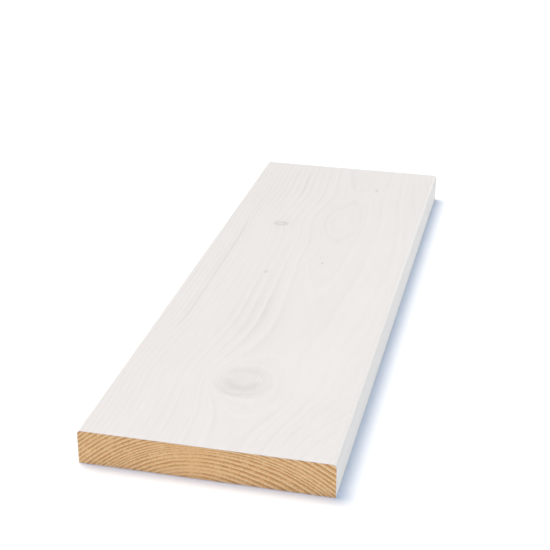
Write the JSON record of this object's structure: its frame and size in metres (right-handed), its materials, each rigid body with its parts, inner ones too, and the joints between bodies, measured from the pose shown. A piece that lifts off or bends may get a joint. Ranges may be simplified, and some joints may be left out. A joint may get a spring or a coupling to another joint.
{
  "type": "cladding board",
  "caption": "Flat planed softwood cladding board, rectangular in section with rounded face edges, finished in a pale white stain with bare sawn ends, laid in rows to cover a wall.",
  "frame": {"origin": "middle of the back face, which the board lies on", "axes": "+X across the board, +Y along the grain away from the front end, +Z out of the finished face"},
  "size_m": [0.145, 0.45, 0.021],
  "materials": {
    "board": "planed softwood, translucent white stain on the face and long edges, bare sawn ends and bare back"
  },
  "bodies": {
    "root": {"cladding_board": "board"}
  },
  "joints": []
}
